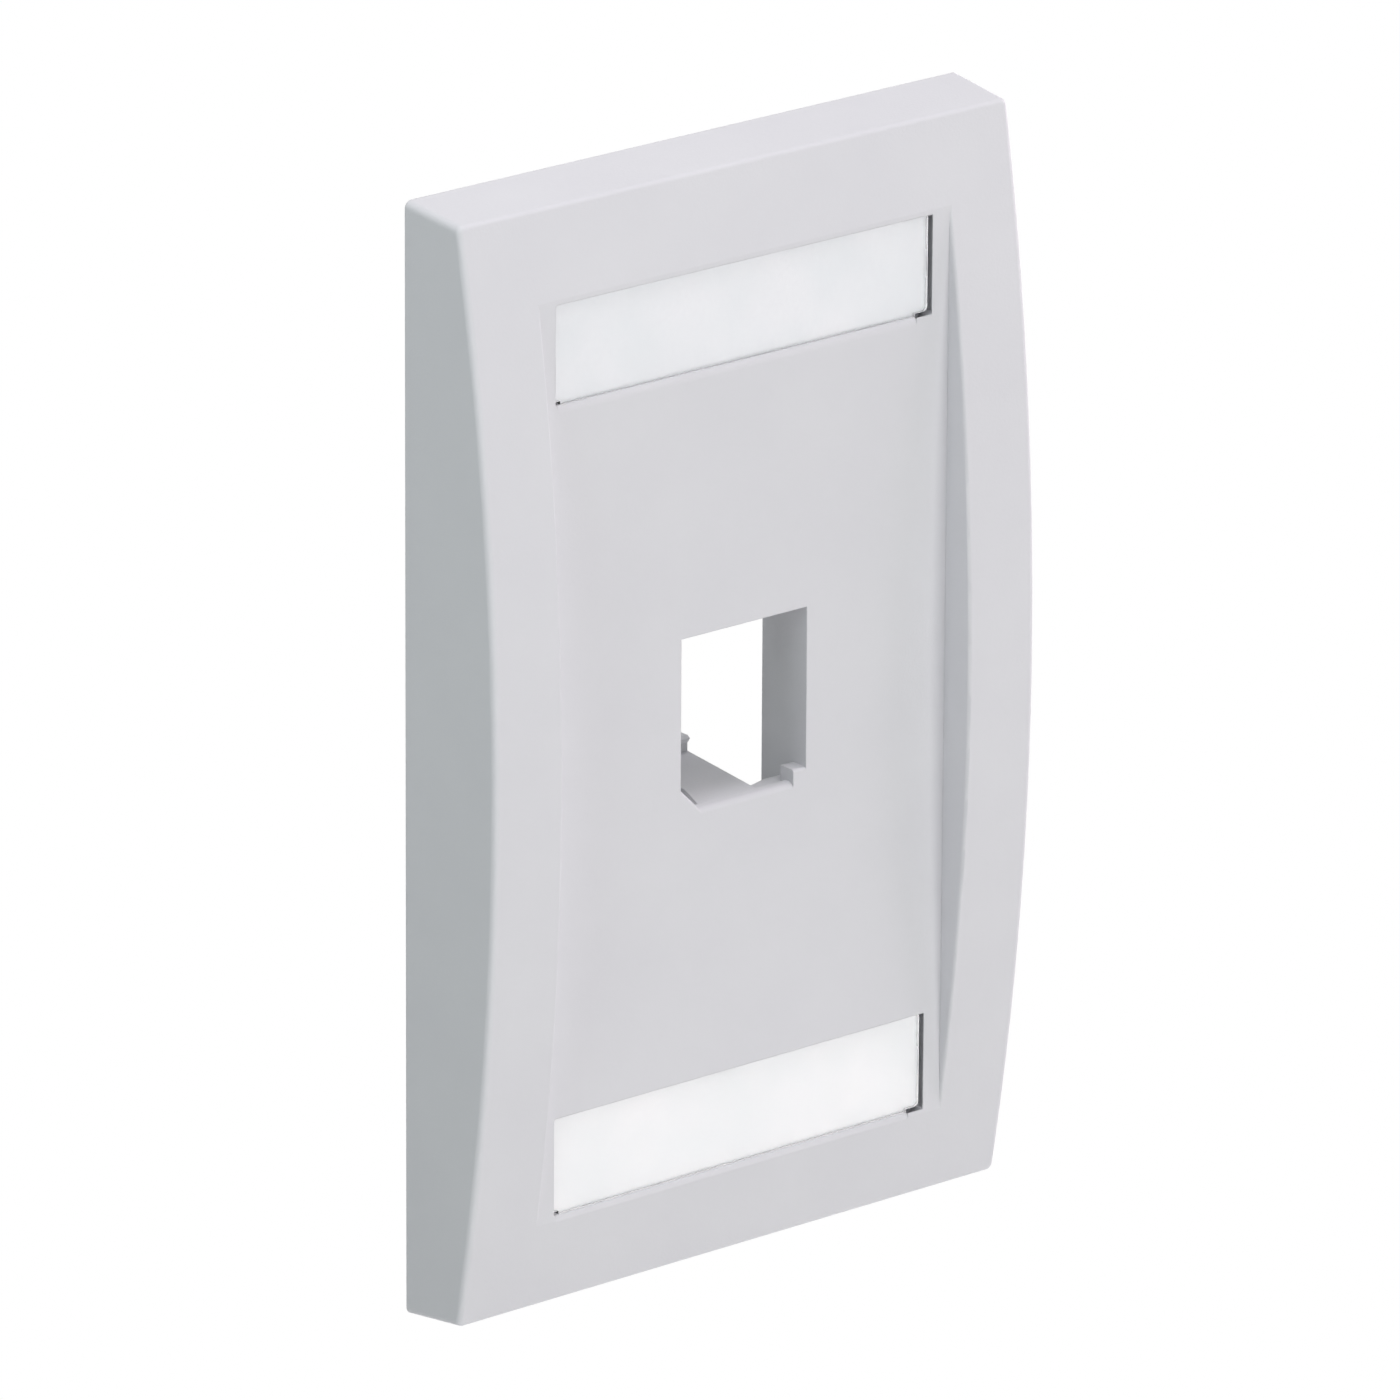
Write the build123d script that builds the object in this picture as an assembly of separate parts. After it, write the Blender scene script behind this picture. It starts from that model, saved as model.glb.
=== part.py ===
"""Single-gang wall faceplate for one snap-in jack, with two label windows that hide its screws.

Millimetres, +Z up. The front faces -Y, the wall is the plane y = 0, and the origin is the middle
of the plate's back edge plane. Depths are measured from the wall towards the front.
"""

from build123d import *
import math
import os

# Outer form of the plate
plate_width = 69.85
plate_height = 114.3
edge_depth = 7.75  # at the upper and lower front edges
crown = 5.4  # how far the arched front rises above those edges at mid-height
side_draft = 2.2  # degrees
end_draft = 6.4  # degrees
corner_radius = 1.6
inner_corner_radius = 0.8
front_edge_radius = 0.6
wall = 2.0

# Flat panel sunk into the arched front
panel_width = 51.8
panel_recess = 3.8
rim_radius = 0.3

# Label pockets over the two fixing screws
screw_spacing = 83.34
pocket_width = 47.6
pocket_middle = -0.1
pocket_height = 10.2
pocket_depth = 1.9
pocket_floor = 2.0
pocket_corner = 0.3
pocket_undercut = 0.7  # behind the right edge and the pry notch
pocket_rounding = 0.8  # how far the lower edge's rounding runs down the panel

# Clear covers and the label cards behind them
cover_sink = 0.3
cover_thickness = 0.6
cover_clearance = 0.02
cover_corner = 0.4
corner_notch_length = 0.8
corner_notch_height = 0.35
pry_gap = 0.3
pry_corner = 0.5
pry_notch_length = 1.6
pry_notch_height = 0.3
leg_thickness = 0.45
leg_width = 6.0
leg_length = 3.2
leg_clearance = 0.3
bead_height = 0.15
bead_length = 0.8
snap_nose_length = 0.2
snap_nose_width = 3.0
snap_nose_thickness = 0.3
label_thickness = 0.3
label_gap = 0.02  # between a card and its cover, and around the cover's leg

# Fixing screws, number 6 with a slotted oval head and a plain neck above the thread
screw_diameter = 3.5
screw_neck_diameter = 3.0
screw_length = 19.05
screw_thread_length = 12.0
screw_head_diameter = 6.9
screw_head_angle = 82.0  # degrees, included angle of the cone under the head
screw_dome_height = 0.9
screw_point = 0.6
driver_slot_width = 1.1
driver_slot_depth = 1.2
screw_hole_clearance = 0.35
screw_seat_clearance = 0.1
boss_wall = 2.2
boss_stand_off = 1.0

# Port for the jack, with its latch finger
port_width = 16.0
port_top = 9.6
port_bottom = -8.35
port_depth = 6.75
port_wall = 1.5
port_key_width = 1.6
port_key_height = 1.3
port_key_rounding = 0.3
port_corner_cut = 2.4
port_corner_rounding = 0.3
port_lip = 1.1  # thickness of the panel's edge in front of the latch finger
port_lip_rounding = 0.65
latch_room = 3.6  # below the port, for the finger to bend into
latch_width = 6.35
latch_middle = -0.675
latch_slit = 0.35
latch_thickness = 1.2
latch_root = 0.3  # how far the finger runs into the lip
latch_flare = 1.1  # to the left, where the finger meets the lip
latch_flare_length = 3.3
latch_rise = 1.05  # from the lip to the post
latch_overhang = 3.25  # past the wall plane
latch_post_height = 1.65
latch_post_thickness = 1.0
latch_nose = 0.4
latch_nose_top = 0.25
latch_nose_under = 0.8
shelf_drop = 0.3  # of the shelf beside the finger, below the lip
shelf_reach = 3.3  # from the panel's front to the shelf's back edge
shelf_slant = 0.7
shelf_slant_width = 2.5
shelf_thickness = 1.2

# Stiffening ribs behind the panel
rib_thickness = 1.5
rib_height = 3.2

# Worked out from the sizes above
apex_depth = edge_depth + crown
panel_depth = apex_depth - panel_recess
panel_back = panel_depth - wall
floor_depth = panel_depth - pocket_depth
floor_back = floor_depth - pocket_floor
cover_front = panel_depth - cover_sink
cover_back = cover_front - cover_thickness
pocket_left = pocket_middle - pocket_width / 2
pocket_right = pocket_middle + pocket_width / 2
cover_left = pocket_left + cover_clearance
cover_right = pocket_right - pry_gap
cover_half_height = pocket_height / 2 - cover_clearance
front_half_height = plate_height / 2 - edge_depth * math.tan(math.radians(end_draft))
arch_radius = (front_half_height**2 + crown**2) / (2 * crown)
port_half = port_width / 2
port_floor = port_bottom - latch_room
port_back = panel_depth - port_depth
lip_back = panel_depth - port_lip
latch_left = latch_middle - latch_width / 2
latch_right = latch_middle + latch_width / 2
head_depth = floor_depth - screw_dome_height  # the widest ring of a seated screw head
cone_slope = math.tan(math.radians(screw_head_angle / 2))
boss_radius = screw_head_diameter / 2 + boss_wall
screw_heights = {"upper": screw_spacing / 2, "lower": -screw_spacing / 2}
reach = apex_depth + 2  # a depth in front of everything
overlap = 0.5  # how far joined material runs into its neighbour


def block(x_low, x_high, depth_low, depth_high, z_low, z_high):
    """A plain block between two limits in each direction."""
    solid = Box(x_high - x_low, depth_high - depth_low, z_high - z_low)
    middle = ((x_low + x_high) / 2, -(depth_low + depth_high) / 2, (z_low + z_high) / 2)
    return Pos(*middle) * solid


def raised(outline, depth_low, depth_high):
    """An outline in X and Z, extruded between two depths."""
    return extrude(Plane.XZ.offset(depth_low) * outline, depth_high - depth_low)


def across(points, x_low, x_high):
    """A closed outline of (depth, Z) points, extruded between two X limits."""
    outline = make_face(Polyline(*[(-depth, z) for depth, z in points], close=True))
    return extrude(Plane.YZ.offset(x_low) * outline, x_high - x_low)


def turned(points, z):
    """A solid turned about a screw's axis at height z, from (radius, depth) points."""
    outline = make_face(Polyline(*[(radius, -depth, 0) for radius, depth in points], close=True))
    return Pos(0, 0, z) * revolve(outline, Axis.Y)


def pocket_edge(z, x_low, x_high):
    """What comes off a pocket's lower edge at height z, to round it from the cover to the panel."""
    start = (-cover_front, z)
    end = (-panel_depth, z - pocket_rounding)
    radius = (pocket_rounding**2 + cover_sink**2) / (2 * cover_sink)
    turn = math.degrees(math.asin(pocket_rounding / radius))
    front = Polyline(end, (-reach, end[1]), (-reach, z + overlap), (start[0], z + overlap), start)
    corner = CenterArc((radius - panel_depth, end[1]), radius, 180 - turn, turn)
    outline = make_face([front, corner])
    return extrude(Plane.YZ.offset(x_low) * outline, x_high - x_low)


def tapered_block(inset, radius):
    """The space between the four drafted sides, each moved in by inset."""
    sections = []
    for depth in (0, reach):
        width = plate_width - 2 * (inset + depth * math.tan(math.radians(side_draft)))
        height = plate_height - 2 * (inset + depth * math.tan(math.radians(end_draft)))
        sections.append(Plane.XZ.offset(depth) * RectangleRounded(width, height, radius))
    return loft(sections, ruled=True)


def arch(inset):
    """The cylinder across the plate that gives the front its curve."""
    lying = Rotation(0, 90, 0) * Cylinder(arch_radius - inset, 2 * plate_width)
    return Pos(0, arch_radius - apex_depth, 0) * lying


def rim_rounding():
    """What comes off the upright edge on the panel's right, to round it all along the arch."""
    edge = panel_width / 2
    inner = (edge - overlap, -(apex_depth - rim_radius))
    start = (edge, -(apex_depth - rim_radius))
    end = (edge + rim_radius, -apex_depth)
    front = Polyline(end, (end[0], -reach), (inner[0], -reach), inner, start)
    corner = CenterArc((end[0], start[1]), rim_radius, 180, 90)
    outline = make_face([front, corner])
    axis_point = (0, arch_radius - apex_depth, 0)
    turn = math.degrees(math.asin(front_half_height / arch_radius))
    ring = revolve(outline, Axis(axis_point, (1, 0, 0)), turn)
    ring += revolve(outline, Axis(axis_point, (-1, 0, 0)), turn)
    return ring & block(0, plate_width, panel_depth, 2 * reach, -plate_height, plate_height)


def shell():
    """The arched skin with its sunk panel, open at the back."""
    outer = tapered_block(0, corner_radius) & arch(0)
    front = outer.faces().filter_by(GeomType.CYLINDER).sort_by(SortBy.AREA)[-1]
    outer = fillet(front.edges(), front_edge_radius)
    half = panel_width / 2
    outer -= block(-half, half, panel_depth, reach, -plate_height, plate_height)
    rounding = rim_rounding()
    outer -= rounding
    outer -= mirror(rounding, Plane.YZ)
    cavity = tapered_block(wall, inner_corner_radius) & arch(wall)
    half += wall
    cavity -= block(-half, half, panel_back, reach, -plate_height, plate_height)
    return outer - cavity


def pocket_backing(z):
    """The thicker floor behind a label pocket, and the boss for its screw."""
    left = pocket_left - wall
    right = pocket_right + wall
    top = z + pocket_height / 2 + wall
    bottom = z - pocket_height / 2 - pocket_rounding - wall
    backing = block(left, right, floor_back, panel_back + overlap, bottom, top)
    length = floor_depth - boss_stand_off
    boss = Rotation(90, 0, 0) * Cylinder(boss_radius, length)
    return backing + Pos(0, -(boss_stand_off + length / 2), z) * boss


def pocket_cuts(z):
    """The pocket with its rounded and undercut edges, the cover's leg slot and the screw's seat."""
    outline = RectangleRounded(pocket_width, pocket_height, pocket_corner)
    cuts = [raised(Pos(pocket_middle, z) * outline, floor_depth, reach)]
    rounded_end = cover_right - pry_notch_length
    bottom = z - pocket_height / 2
    cuts.append(pocket_edge(bottom, pocket_left + pocket_corner, rounded_end))
    under = panel_depth - pocket_undercut
    right_edge = make_face(
        Polyline(
            (pocket_right - overlap, -panel_depth),
            (pocket_right, -panel_depth),
            (pocket_right + pocket_undercut, -under),
            (pocket_right + pocket_undercut, -floor_depth),
            (pocket_right - overlap, -floor_depth),
            close=True,
        )
    )
    cuts.append(Pos(0, 0, bottom) * extrude(right_edge, pocket_height, dir=(0, 0, 1)))
    lower_edge = [
        (panel_depth, bottom + overlap),
        (panel_depth, bottom),
        (under, bottom - pocket_undercut),
        (floor_depth, bottom - pocket_undercut),
        (floor_depth, bottom + overlap),
    ]
    cuts.append(across(lower_edge, rounded_end, pocket_right))
    slot_half = leg_width / 2 + leg_clearance
    slot_end = cover_left + leg_thickness + leg_clearance
    cuts.append(block(pocket_left, slot_end, 0, reach, z - slot_half, z + slot_half))
    hole = screw_diameter / 2 + screw_hole_clearance
    ring = screw_head_diameter / 2 + screw_seat_clearance
    throat = head_depth - (ring - hole) / cone_slope
    seat = [(0, 0), (hole, 0), (hole, throat), (ring, head_depth), (ring, reach), (0, reach)]
    cuts.append(turned(seat, z))
    return cuts


def port_walls():
    """The sleeve behind the port, and the ribs that tie it to the label pockets and the rims."""
    outer = port_half + port_wall
    top = port_top + port_wall
    bottom = port_floor - port_wall
    walls = block(-outer, outer, port_back, panel_back + overlap, bottom, top)
    rib_low = panel_back - rib_height
    rib_reach = screw_spacing / 2 - pocket_height / 2
    for side in (-1, 1):
        x = sorted((side * (outer - rib_thickness), side * outer))
        walls += block(*x, rib_low, panel_back + overlap, -rib_reach, rib_reach)
        x = sorted((side * (outer - overlap), side * (panel_width / 2 + overlap)))
        for z in (top - rib_thickness, bottom):
            walls += block(*x, rib_low, panel_back + overlap, z, z + rib_thickness)
    return walls


def port_opening():
    """The keyed opening through the panel."""
    corner = port_bottom + port_corner_cut
    outline = Polyline(
        (-port_half, port_top),
        (-port_half, corner),
        (-port_half + port_corner_cut, port_bottom),
        (port_half - port_key_width, port_bottom),
        (port_half - port_key_width, port_bottom + port_key_height),
        (port_half, port_bottom + port_key_height),
        (port_half, port_top),
        close=True,
    )
    return raised(make_face(outline), 0, reach)


def rounded_port(body):
    """The body with the opening's lip, its cut corner and its key rounded at the front."""
    lip = (0, -panel_depth, port_bottom)
    half_cut = port_corner_cut / 2
    corner = (half_cut - port_half, -panel_depth, port_bottom + half_cut)
    key = (port_half - port_key_width / 2, -panel_depth, port_bottom + port_key_height)
    roundings = (
        (lip, port_lip_rounding),
        (corner, port_corner_rounding),
        (key, port_key_rounding),
    )
    for point, radius in roundings:
        body = fillet(body.edges().sort_by_distance(point)[0], radius)
    return body


def sleeve_cuts():
    """The plain space of the sleeve, the slits beside the latch finger and the step to the shelf."""
    cuts = [block(-port_half, port_half, 0, panel_back, port_floor, port_top)]
    corner = port_bottom + port_corner_cut
    for low, high in ((-port_half, latch_left), (latch_right, latch_right + latch_slit)):
        cuts.append(block(low, high, 0, lip_back, port_floor, corner))
    step = port_bottom - shelf_drop
    cuts.append(block(latch_right, port_half - port_key_width, 0, lip_back, step, corner))
    return cuts


def shelf():
    """The fixed shelf between the latch finger and the port's right wall."""
    low = latch_right + latch_slit
    high = port_half + overlap
    back = panel_depth - shelf_reach
    outline = Polyline(
        (low, -panel_back - overlap),
        (high, -panel_back - overlap),
        (high, -back),
        (low + shelf_slant_width, -back),
        (low, -back - shelf_slant),
        close=True,
    )
    bottom = port_bottom - shelf_drop - shelf_thickness
    return extrude(Plane.XY.offset(bottom) * make_face(outline), shelf_thickness)


def latch_finger():
    """The springy finger below the port, flared at its root, with the hooked post at its end."""
    root = lip_back + latch_root
    under = port_bottom - latch_thickness
    back_top = port_bottom + latch_rise
    post_top = back_top + latch_post_height
    post_face = latch_post_thickness - latch_overhang
    side = [
        (root, under),
        (-latch_overhang, under + latch_rise),
        (-latch_overhang, post_top),
        (post_face, post_top),
        (post_face + latch_nose, post_top - latch_nose_top),
        (post_face, post_top - latch_nose_under),
        (post_face, back_top),
        (lip_back, port_bottom),
        (root, port_bottom),
    ]
    flare_left = latch_left - latch_flare
    flare = make_face(
        Polyline(
            (latch_left, -root),
            (flare_left, -root),
            (flare_left, -lip_back),
            (latch_left, latch_flare_length - lip_back),
            close=True,
        )
    )
    flare = extrude(Plane.XY.offset(port_floor) * flare, port_top - port_floor)
    return across(side, latch_left, latch_right) + (across(side, flare_left, latch_left) & flare)


def faceplate_body():
    """The one-piece moulding."""
    body = shell()
    for z in screw_heights.values():
        body += pocket_backing(z)
    body += port_walls()
    for z in screw_heights.values():
        body -= pocket_cuts(z)
    body = rounded_port(body - port_opening())
    body -= sleeve_cuts()
    body += shelf()
    body += latch_finger()
    return body


def cover_outline(right):
    """The outline of a cover or its card, with a pry notch at the right and a small one at the left."""
    low = -cover_half_height
    high = cover_half_height
    outline = make_face(
        Polyline(
            (cover_left, high),
            (cover_left, low + corner_notch_height),
            (cover_left + corner_notch_length, low + corner_notch_height),
            (cover_left + corner_notch_length, low),
            (cover_right - pry_notch_length, low),
            (cover_right - pry_notch_length, low + pry_notch_height),
            (right, low + pry_notch_height),
            (right, high),
            close=True,
        )
    )
    upper = outline.vertices().sort_by(Axis.Y)[-2:]
    outline = fillet(upper, cover_corner)
    lower_right = outline.vertices().sort_by(lambda v: v.X - v.Y)[-1]
    return fillet(lower_right, pry_corner)


def label_cover(z):
    """A clear flat cover with a spring leg at its left and a gap at its right to pry it out."""
    cover = raised(Pos(0, z) * cover_outline(cover_right), cover_back, cover_front)
    tip = cover_back - leg_length
    face = cover_left + leg_thickness
    cover += block(cover_left, face, tip, cover_back, z - leg_width / 2, z + leg_width / 2)
    bead = make_face(
        Polyline(
            (face, -tip),
            (face + bead_height, -tip - bead_length / 2),
            (face, -tip - bead_length),
            close=True,
        )
    )
    cover += Pos(0, 0, z - leg_width / 2) * extrude(bead, leg_width, dir=(0, 0, 1))
    nose_end = cover_right + snap_nose_length
    nose_front = cover_back + snap_nose_thickness
    nose_half = snap_nose_width / 2
    cover += block(cover_right - overlap, nose_end, cover_back, nose_front, z - nose_half, z + nose_half)
    return cover


def label_card(z):
    """A white card close behind its cover, as long as the pocket and notched for the cover's leg."""
    front = cover_back - label_gap
    right = pocket_right - cover_clearance
    card = raised(Pos(0, z) * cover_outline(right), front - label_thickness, front)
    notch_half = leg_width / 2 + label_gap
    notch_end = cover_left + leg_thickness + label_gap
    return card - block(cover_left - overlap, notch_end, 0, reach, z - notch_half, z + notch_half)


def fixing_screw(z):
    """A slotted oval head screw, seated in the floor of a label pocket."""
    head = screw_head_diameter / 2
    neck = screw_neck_diameter / 2
    thread = screw_diameter / 2
    tip = head_depth - screw_length
    thread_start = tip + screw_thread_length
    dome_radius = (head**2 + screw_dome_height**2) / (2 * screw_dome_height)
    dome_turn = math.degrees(math.asin(head / dome_radius))
    dome = CenterArc((0, dome_radius - floor_depth), dome_radius, -90, dome_turn)
    below = Polyline(
        (head, -head_depth),
        (neck, (head - neck) / cone_slope - head_depth),
        (neck, -thread_start),
        (thread, -thread_start),
        (thread, -tip - screw_point),
        (thread - screw_point, -tip),
        (0, -tip),
        (0, -floor_depth),
    )
    screw = Pos(0, 0, z) * revolve(make_face([dome, below]), Axis.Y)
    half_slot = driver_slot_width / 2
    slot_bottom = floor_depth - driver_slot_depth
    return screw - block(-head, head, slot_bottom, reach, z - half_slot, z + half_slot)


os.makedirs("parts", exist_ok=True)
export_step(faceplate_body(), "parts/faceplate_body.step")
for name, z in screw_heights.items():
    export_step(label_cover(z), f"parts/{name}_label_cover.step")
    export_step(label_card(z), f"parts/{name}_label.step")
    export_step(fixing_screw(z), f"parts/{name}_fixing_screw.step")
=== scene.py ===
"""Looks of a single-gang wall faceplate with one empty jack port and two label windows.

Metres, +Z up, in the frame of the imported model: the front faces -Y and the wall is at y = 0.
"""

import math

import bmesh
import bpy
from mathutils import Matrix, Vector


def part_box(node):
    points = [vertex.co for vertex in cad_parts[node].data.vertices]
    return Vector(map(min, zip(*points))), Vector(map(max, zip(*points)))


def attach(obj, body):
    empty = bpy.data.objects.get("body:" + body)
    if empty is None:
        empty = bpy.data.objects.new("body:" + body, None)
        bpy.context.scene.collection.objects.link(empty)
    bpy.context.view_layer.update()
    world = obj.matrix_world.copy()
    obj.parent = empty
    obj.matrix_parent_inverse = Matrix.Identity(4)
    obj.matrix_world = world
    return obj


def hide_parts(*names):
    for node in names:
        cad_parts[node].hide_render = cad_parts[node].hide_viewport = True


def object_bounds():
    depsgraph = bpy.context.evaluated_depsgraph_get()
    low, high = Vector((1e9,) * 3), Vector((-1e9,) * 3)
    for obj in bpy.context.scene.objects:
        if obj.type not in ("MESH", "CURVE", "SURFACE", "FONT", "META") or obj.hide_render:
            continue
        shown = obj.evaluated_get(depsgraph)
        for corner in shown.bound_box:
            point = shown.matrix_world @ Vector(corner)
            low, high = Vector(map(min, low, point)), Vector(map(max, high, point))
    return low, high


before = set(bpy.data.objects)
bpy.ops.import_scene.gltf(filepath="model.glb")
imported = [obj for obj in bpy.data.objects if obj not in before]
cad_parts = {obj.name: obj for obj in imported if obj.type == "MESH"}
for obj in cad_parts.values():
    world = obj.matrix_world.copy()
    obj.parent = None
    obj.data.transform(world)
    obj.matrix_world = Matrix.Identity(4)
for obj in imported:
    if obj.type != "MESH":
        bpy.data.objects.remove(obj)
cad_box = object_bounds()

# Camera, in degrees and metres; the lens and the sensor in millimetres
CAMERA_AZIMUTH = -39.917
CAMERA_ELEVATION = 19.07
CAMERA_ROLL = 0.332
CAMERA_DISTANCE = 1.36077
CAMERA_ASIDE = 0.001687
CAMERA_RAISED = -0.000821
CAMERA_LENS = 355.574
CAMERA_SENSOR = 36.0

# Light: for each lamp the direction towards it, its distance, width, power and colour
WHITE = (1.0, 1.0, 1.0, 1.0)
AMBIENT_COLOUR = (0.76, 1.0, 0.83)
AMBIENT_STRENGTH = 0.07
LAMPS = {
    "top": ((0.08, -0.16, 1.0), 1.2, 0.75, 10.8, (1.0, 0.968, 1.0)),
    "rear": ((0.15, 1.0, 0.25), 1.2, 0.9, 2.2, (0.95, 1.0, 0.95)),
    "back": ((0.7, 1.0, -0.4), 1.2, 1.4, 6.5, (1.0, 0.96, 1.0)),
    "right": ((1.0, -0.15, 0.2), 1.2, 0.9, 7.4, (1.0, 0.89, 0.98)),
    "low": ((0.05, -0.9, -0.4), 1.2, 1.1, 12.0, (0.995, 0.985, 0.985)),
    "left": ((-1.0, -0.1, 0.45), 0.5, 0.3, 1.04, (0.93, 0.985, 1.0)),
}

# Floor under the held part; it fades from a share of its radius outwards
FLOOR_DROP = 0.25
FLOOR_RADIUS = 0.5
FLOOR_FADE_START = 0.5
FLOOR_SIDES = 96
FLOOR_COLOUR = (0.9, 0.9, 0.9, 1.0)
FLOOR_ROUGHNESS = 0.9

# Most of a noise's values lie between these two
NOISE_LOW = 0.3
NOISE_HIGH = 0.7

# Moulded plastic; each pair runs from a noise's low values to its high ones
PLASTIC_COLOURS = (0.680, 0.676, 0.704), (0.700, 0.697, 0.722)
PLASTIC_ROUGHNESS = 0.46, 0.62
PLASTIC_IOR = 1.5
CLOUD_SIZE = 0.012
GRAIN_SIZE = 0.00028
GRAIN_HEIGHT = 0.00002
EDGE_ROUNDING = 0.00018
EDGE_SAMPLES = 6

# Clear covers
CLEAR_COLOURS = (0.97, 0.98, 0.98), (1.0, 1.0, 1.0)
CLEAR_ROUGHNESS = 0.03, 0.07
CLEAR_IOR = 1.49
FLOW_SIZE = 0.006
FLOW_HEIGHT = 0.00002
FLOW_STRENGTH = 0.3

# Label cards, one paper; the upper card's colours are darker than the lower card's as painted
# shade, for the less light that falls on the upper label
PAPER_TONES_AND_PAINTED_SHADE = {
    "upper": ((0.80, 0.805, 0.83), (0.835, 0.84, 0.86)),
    "lower": ((0.915, 0.91, 0.92), (0.94, 0.935, 0.945)),
}
PAPER_ROUGHNESS = 0.75, 0.9
FIBRE_SIZE = 0.0006
FIBRE_HEIGHT = 0.00001

# Plated steel
STEEL_COLOURS = (0.36, 0.37, 0.39), (0.50, 0.51, 0.52)
STEEL_ROUGHNESS = 0.24, 0.4
MOTTLE_SIZE = 0.0012
PITTING_SIZE = 0.00012
PITTING_HEIGHT = 0.000004

# The plate's outer corners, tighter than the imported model's; drafts in degrees
PACKED_CORNER_RADIUS = 0.0016
CORNER_RADIUS = 0.0008
SIDE_DRAFT = 2.2
END_DRAFT = 6.4
EDGE_DEPTH = 0.00775
CROWN = 0.0054
FRONT_DEPTH = 0.004  # what lies in front of this follows the arch
TOLERANCE = 0.000002

# Screws
SCREW_HEAD_RADIUS = 0.00345
SCREW_DOME_HEIGHT = 0.0009
SCREW_HEAD_ANGLE = 82.0
SCREW_NECK_RADIUS = 0.0015
SCREW_THREAD_RADIUS = 0.00175
SCREW_ROOT_RADIUS = 0.00138
SCREW_PITCH = 0.000794
SCREW_THREAD_LENGTH = 0.012
SCREW_POINT = 0.0006
SCREW_SLOT_WIDTH = 0.0011
SCREW_SLOT_DEPTH = 0.0012
SCREW_SIDES = 48
SCREW_SHARP_ANGLE = 35.0
RINGS_PER_PITCH = 14
DOME_RINGS = 10

# A zigzag made this much steeper and sunk by this share gets flat crests and roots
THREAD_STEEPNESS = 1.3
THREAD_SINK = 0.1


def new_material(name):
    """A new material, with its node tree, its Principled shader and object coordinates."""
    material = bpy.data.materials.new(name)
    material.use_nodes = True
    tree = material.node_tree
    shader = tree.nodes["Principled BSDF"]
    place = tree.nodes.new("ShaderNodeTexCoord").outputs["Object"]
    return material, tree, shader, place


def noise(tree, place, size, detail=2.0, roughness=0.5):
    """Noise whose features are about size metres across."""
    node = tree.nodes.new("ShaderNodeTexNoise")
    node.inputs["Scale"].default_value = 1 / size
    node.inputs["Detail"].default_value = detail
    node.inputs["Roughness"].default_value = roughness
    tree.links.new(place, node.inputs["Vector"])
    return node.outputs["Fac"]


def ramp(tree, value, low, high):
    """A colour that goes from low to high with a noise's value."""
    node = tree.nodes.new("ShaderNodeValToRGB")
    ends = zip(node.color_ramp.elements, (NOISE_LOW, NOISE_HIGH), (low, high))
    for element, at, colour in ends:
        element.position = at
        element.color = (*colour, 1.0)
    tree.links.new(value, node.inputs["Fac"])
    return node.outputs["Color"]


def spread(tree, value, low, high, start=NOISE_LOW, end=NOISE_HIGH):
    """A number that goes from low to high as value goes from start to end."""
    node = tree.nodes.new("ShaderNodeMapRange")
    settings = {"From Min": start, "From Max": end, "To Min": low, "To Max": high}
    for name, number in settings.items():
        node.inputs[name].default_value = number
    tree.links.new(value, node.inputs["Value"])
    return node.outputs["Result"]


def bump(tree, height, distance, strength=1.0, under=None):
    """A bump of the given height in metres, on top of another normal if one is given."""
    node = tree.nodes.new("ShaderNodeBump")
    node.inputs["Distance"].default_value = distance
    node.inputs["Strength"].default_value = strength
    tree.links.new(height, node.inputs["Height"])
    if under is not None:
        tree.links.new(under, node.inputs["Normal"])
    return node.outputs["Normal"]


def soft_edges(tree):
    """The small rounding that every moulded edge has."""
    node = tree.nodes.new("ShaderNodeBevel")
    node.samples = EDGE_SAMPLES
    node.inputs["Radius"].default_value = EDGE_ROUNDING
    return node.outputs["Normal"]


def moulded_plastic():
    """Light grey matt plastic with the fine grain of a spark-eroded mould."""
    material, tree, shader, place = new_material("moulded_plastic")
    cloud = noise(tree, place, CLOUD_SIZE, detail=3.0)
    grain = noise(tree, place, GRAIN_SIZE, detail=3.0, roughness=0.6)
    colour = ramp(tree, cloud, *PLASTIC_COLOURS)
    tree.links.new(colour, shader.inputs["Base Color"])
    tree.links.new(spread(tree, grain, *PLASTIC_ROUGHNESS), shader.inputs["Roughness"])
    normal = bump(tree, grain, GRAIN_HEIGHT, under=soft_edges(tree))
    tree.links.new(normal, shader.inputs["Normal"])
    shader.inputs["IOR"].default_value = PLASTIC_IOR
    return material


def clear_plastic():
    """Clear moulded cover that lets the light through to its label."""
    material, tree, shader, place = new_material("clear_plastic")
    flow = noise(tree, place, FLOW_SIZE, detail=1.0)
    tree.links.new(spread(tree, flow, *CLEAR_ROUGHNESS), shader.inputs["Roughness"])
    tree.links.new(ramp(tree, flow, *CLEAR_COLOURS), shader.inputs["Base Color"])
    normal = bump(tree, flow, FLOW_HEIGHT, strength=FLOW_STRENGTH)
    tree.links.new(normal, shader.inputs["Normal"])
    shader.inputs["Transmission Weight"].default_value = 1.0
    shader.inputs["IOR"].default_value = CLEAR_IOR
    return material


def label_paper(name, low, high):
    """White uncoated card with a faint fibre, between two colours."""
    material, tree, shader, place = new_material(name)
    fibre = noise(tree, place, FIBRE_SIZE, detail=5.0, roughness=0.7)
    colour = ramp(tree, fibre, low, high)
    tree.links.new(colour, shader.inputs["Base Color"])
    tree.links.new(spread(tree, fibre, *PAPER_ROUGHNESS), shader.inputs["Roughness"])
    tree.links.new(bump(tree, fibre, FIBRE_HEIGHT), shader.inputs["Normal"])
    return material


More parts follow.
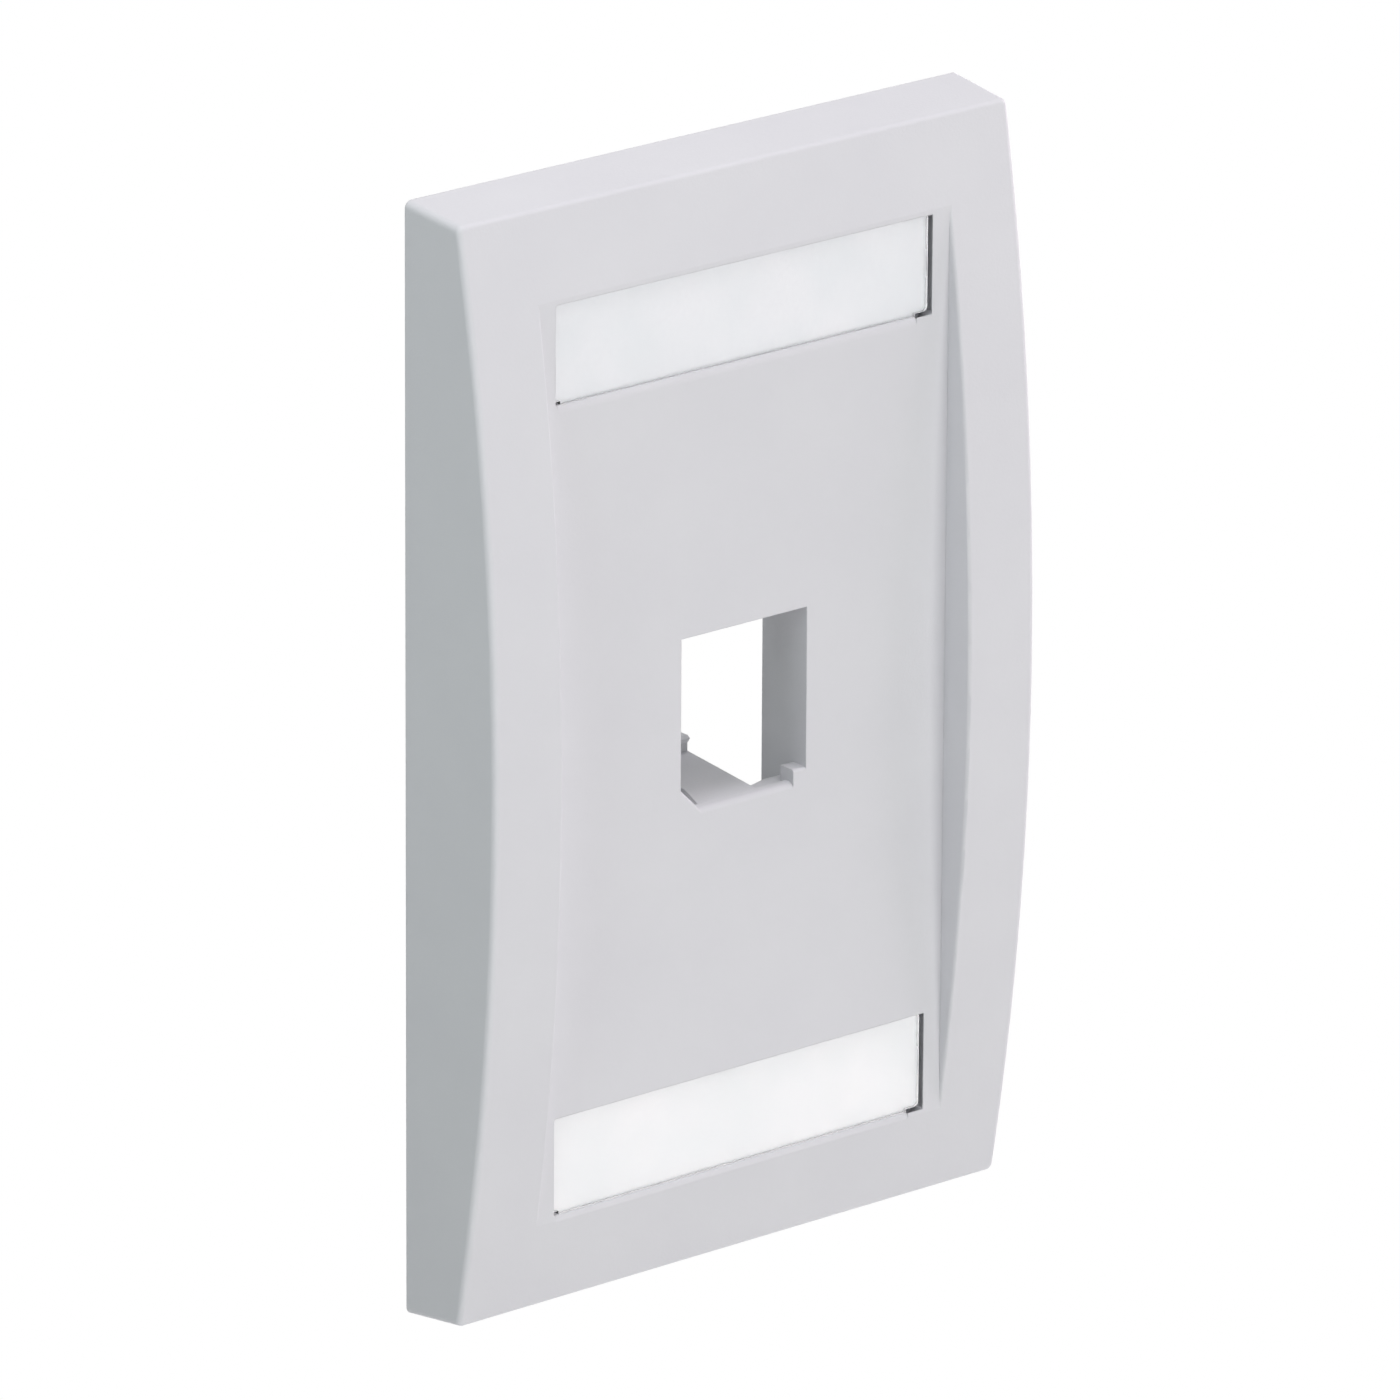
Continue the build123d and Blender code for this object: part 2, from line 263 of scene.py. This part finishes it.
def plated_steel():
    """Zinc plate with a faint mottle and fine pits."""
    material, tree, shader, place = new_material("plated_steel")
    mottle = noise(tree, place, MOTTLE_SIZE, detail=4.0)
    pitting = noise(tree, place, PITTING_SIZE, detail=2.0)
    tree.links.new(ramp(tree, mottle, *STEEL_COLOURS), shader.inputs["Base Color"])
    tree.links.new(spread(tree, mottle, *STEEL_ROUGHNESS), shader.inputs["Roughness"])
    tree.links.new(bump(tree, pitting, PITTING_HEIGHT), shader.inputs["Normal"])
    shader.inputs["Metallic"].default_value = 1.0
    return material


def finish_node(name, material):
    """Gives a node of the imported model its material."""
    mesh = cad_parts[name].data
    mesh.materials.clear()
    mesh.materials.append(material)


def arch_depth(z, half_height):
    """How far the plate's arched front stands off the wall at the height z."""
    edge = half_height - EDGE_DEPTH * math.tan(math.radians(END_DRAFT))
    radius = (edge**2 + CROWN**2) / (2 * CROWN)
    return EDGE_DEPTH + CROWN - radius + math.sqrt(radius**2 - z**2)


def tighten_corner(vertex, half_width, half_height):
    """Moves a vertex on one of the plate's outer corners to the smaller radius."""
    x, depth, z = abs(vertex.co.x), -vertex.co.y, abs(vertex.co.z)
    corner_x = half_width - depth * math.tan(math.radians(SIDE_DRAFT))
    corner_z = half_height - depth * math.tan(math.radians(END_DRAFT))
    across = x - (corner_x - PACKED_CORNER_RADIUS)
    along = z - (corner_z - PACKED_CORNER_RADIUS)
    if min(across, along) < -TOLERANCE:
        return
    across, along = max(across, 0.0), max(along, 0.0)
    reach = math.hypot(across, along) - PACKED_CORNER_RADIUS + CORNER_RADIUS
    if reach < 0:
        return
    angle = math.atan2(along, across)
    new_x = corner_x - CORNER_RADIUS + reach * math.cos(angle)
    new_z = corner_z - CORNER_RADIUS + reach * math.sin(angle)
    if depth > FRONT_DEPTH:
        vertex.co.y -= arch_depth(new_z, half_height) - arch_depth(z, half_height)
    vertex.co.x = math.copysign(new_x, vertex.co.x)
    vertex.co.z = math.copysign(new_z, vertex.co.z)


def crisp_plate(name, material):
    """The moulding with tighter outer corners, in the place of the node."""
    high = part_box(name)[1]
    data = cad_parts[name].data.copy()
    for vertex in data.vertices:
        tighten_corner(vertex, high.x, high.z)
    plate = bpy.data.objects.new(name + "_crisp", data)
    bpy.context.scene.collection.objects.link(plate)
    data.materials.clear()
    data.materials.append(material)
    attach(plate, "faceplate")
    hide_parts(name)


def thread_radius(back, angle, end):
    """The radius in the screw's threaded stretch, where back runs up to end."""
    phase = (back / SCREW_PITCH - angle / math.tau) % 1.0
    ridge = 1 - abs(2 * phase - 1)
    crest = min(1.0, max(0.0, THREAD_STEEPNESS * ridge - THREAD_SINK))
    depth = SCREW_THREAD_RADIUS - SCREW_ROOT_RADIUS
    limit = SCREW_THREAD_RADIUS - max(0.0, back - (end - SCREW_POINT))
    return min(SCREW_ROOT_RADIUS + depth * crest, limit)


def screw_rings(length):
    """(distance behind the top of the head, radius or radius function) from head to point."""
    head, dome = SCREW_HEAD_RADIUS, SCREW_DOME_HEIGHT
    sphere = (head**2 + dome**2) / (2 * dome)
    rings = []
    for i in range(1, DOME_RINGS + 1):
        radius = head * i / DOME_RINGS
        rings.append((sphere - math.sqrt(sphere**2 - radius**2), radius))
    cone = (head - SCREW_NECK_RADIUS) / math.tan(math.radians(SCREW_HEAD_ANGLE / 2))
    rings.append((dome + cone, SCREW_NECK_RADIUS))
    start = length - SCREW_THREAD_LENGTH
    rings.append((start - SCREW_PITCH / 2, SCREW_NECK_RADIUS))
    count = round(SCREW_THREAD_LENGTH / SCREW_PITCH * RINGS_PER_PITCH)
    for i in range(count + 1):
        back = start + SCREW_THREAD_LENGTH * i / count
        rings.append((back, lambda angle, back=back: thread_radius(back, angle, length)))
    return rings


def fixing_screw(name, material):
    """A slotted oval head screw with a real thread, in the place of the plain node."""
    low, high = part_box(name)
    length = high.y - low.y
    middle = (low + high) / 2
    top = Vector((middle.x, low.y, middle.z))
    mesh = bmesh.new()
    centre = mesh.verts.new((0, 0, 0))
    loops = []
    for back, radius in screw_rings(length):
        loop = []
        for i in range(SCREW_SIDES):
            angle = math.tau * i / SCREW_SIDES
            r = radius(angle) if callable(radius) else radius
            loop.append(mesh.verts.new((r * math.cos(angle), back, r * math.sin(angle))))
        loops.append(loop)
    tip = mesh.verts.new((0, length, 0))
    for i in range(SCREW_SIDES):
        j = (i + 1) % SCREW_SIDES
        mesh.faces.new((centre, loops[0][i], loops[0][j]))
        for a, b in zip(loops, loops[1:]):
            mesh.faces.new((a[i], b[i], b[j], a[j]))
        mesh.faces.new((tip, loops[-1][j], loops[-1][i]))
    bmesh.ops.recalc_face_normals(mesh, faces=mesh.faces[:])
    data = bpy.data.meshes.new(name)
    mesh.to_mesh(data)
    mesh.free()
    data.transform(Matrix.Translation(top))
    screw = bpy.data.objects.new(name + "_threaded", data)
    bpy.context.scene.collection.objects.link(screw)
    cut_slot(screw, top)
    screw.data.materials.append(material)
    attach(screw, "faceplate")
    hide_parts(name)


def cut_slot(screw, top):
    """Cuts the driver slot right across the screw's head, down from its top."""
    size = (3 * SCREW_HEAD_RADIUS, 2 * SCREW_SLOT_DEPTH, SCREW_SLOT_WIDTH)
    place = Matrix.Translation(top) @ Matrix.Diagonal((*size, 1.0))
    mesh = bmesh.new()
    bmesh.ops.create_cube(mesh, size=1.0, matrix=place)
    data = bpy.data.meshes.new("slot_cutter")
    mesh.to_mesh(data)
    mesh.free()
    cutter = bpy.data.objects.new("slot_cutter", data)
    bpy.context.scene.collection.objects.link(cutter)
    cut = screw.modifiers.new("driver_slot", "BOOLEAN")
    cut.operation = "DIFFERENCE"
    cut.solver = "EXACT"
    cut.object = cutter
    shown = screw.evaluated_get(bpy.context.evaluated_depsgraph_get())
    screw.data = bpy.data.meshes.new_from_object(shown)
    screw.modifiers.clear()
    bpy.data.objects.remove(cutter)
    screw.data.shade_smooth()
    screw.data.set_sharp_from_angle(angle=math.radians(SCREW_SHARP_ANGLE))


def make_floor():
    """A pale round floor below the held part, which fades out at its edge."""
    lowest = cad_box[0].z
    mesh = bmesh.new()
    bmesh.ops.create_circle(mesh, cap_ends=True, segments=FLOOR_SIDES, radius=FLOOR_RADIUS)
    data = bpy.data.meshes.new("floor")
    mesh.to_mesh(data)
    mesh.free()
    floor = bpy.data.objects.new("floor", data)
    floor.location = (0, 0, lowest - FLOOR_DROP)
    bpy.context.scene.collection.objects.link(floor)
    material, tree, shader, place = new_material("floor")
    shader.inputs["Base Color"].default_value = FLOOR_COLOUR
    shader.inputs["Roughness"].default_value = FLOOR_ROUGHNESS
    distance = tree.nodes.new("ShaderNodeVectorMath")
    distance.operation = "LENGTH"
    tree.links.new(place, distance.inputs[0])
    fade_start = FLOOR_FADE_START * FLOOR_RADIUS
    fade = spread(tree, distance.outputs["Value"], 1.0, 0.0, fade_start, FLOOR_RADIUS)
    tree.links.new(fade, shader.inputs["Alpha"])
    data.materials.append(material)


def make_world():
    """Faint even light, in a world that the camera, metal and clear parts see as plain white."""
    world = bpy.data.worlds.new("studio")
    bpy.context.scene.world = world
    world.use_nodes = True
    tree = world.node_tree
    ambient = tree.nodes["Background"]
    ambient.inputs["Color"].default_value = (*AMBIENT_COLOUR, 1.0)
    ambient.inputs["Strength"].default_value = AMBIENT_STRENGTH
    white = tree.nodes.new("ShaderNodeBackground")
    white.inputs["Color"].default_value = WHITE
    white.inputs["Strength"].default_value = 1.0
    path = tree.nodes.new("ShaderNodeLightPath")
    seen = path.outputs["Is Camera Ray"]
    for name in ("Is Glossy Ray", "Is Transmission Ray"):
        either = tree.nodes.new("ShaderNodeMath")
        either.operation = "MAXIMUM"
        tree.links.new(seen, either.inputs[0])
        tree.links.new(path.outputs[name], either.inputs[1])
        seen = either.outputs["Value"]
    mix = tree.nodes.new("ShaderNodeMixShader")
    tree.links.new(seen, mix.inputs["Fac"])
    tree.links.new(ambient.outputs["Background"], mix.inputs[1])
    tree.links.new(white.outputs["Background"], mix.inputs[2])
    tree.links.new(mix.outputs["Shader"], tree.nodes["World Output"].inputs["Surface"])


def make_lamp(name, direction, distance, width, power, colour):
    """A soft square lamp that faces the part."""
    data = bpy.data.lights.new(name, "AREA")
    data.shape = "SQUARE"
    data.size = width
    data.energy = power
    data.color = colour
    lamp = bpy.data.objects.new(name, data)
    towards = Vector(direction).normalized()
    lamp.location = towards * distance
    lamp.rotation_euler = towards.to_track_quat("Z", "Y").to_euler()
    bpy.context.scene.collection.objects.link(lamp)


def make_camera():
    """The camera at the photograph's viewing angle."""
    a, e, r = (math.radians(x) for x in (CAMERA_AZIMUTH, CAMERA_ELEVATION, CAMERA_ROLL))
    back = Vector((math.sin(a) * math.cos(e), -math.cos(a) * math.cos(e), math.sin(e)))
    level = Vector((math.cos(a), math.sin(a), 0.0))
    upright = back.cross(level)
    right = math.cos(r) * level + math.sin(r) * upright
    up = math.cos(r) * upright - math.sin(r) * level
    data = bpy.data.cameras.new("camera")
    data.lens = CAMERA_LENS
    data.sensor_width = CAMERA_SENSOR
    camera = bpy.data.objects.new("camera", data)
    camera.matrix_world = Matrix((right, up, back)).transposed().to_4x4()
    camera.location = back * CAMERA_DISTANCE + right * CAMERA_ASIDE + up * CAMERA_RAISED
    bpy.context.scene.collection.objects.link(camera)
    bpy.context.scene.camera = camera


steel = plated_steel()
clear = clear_plastic()
crisp_plate("faceplate_body", moulded_plastic())
# the upper card gets the darker colours, which are painted shade
for side, colours in PAPER_TONES_AND_PAINTED_SHADE.items():
    finish_node(f"{side}_label_cover", clear)
    finish_node(f"{side}_label", label_paper(f"{side}_paper", *colours))
    fixing_screw(f"{side}_fixing_screw", steel)

make_floor()
make_world()
for name, lamp in LAMPS.items():
    make_lamp(name, *lamp)
make_camera()
bpy.context.scene.view_settings.view_transform = "Standard"
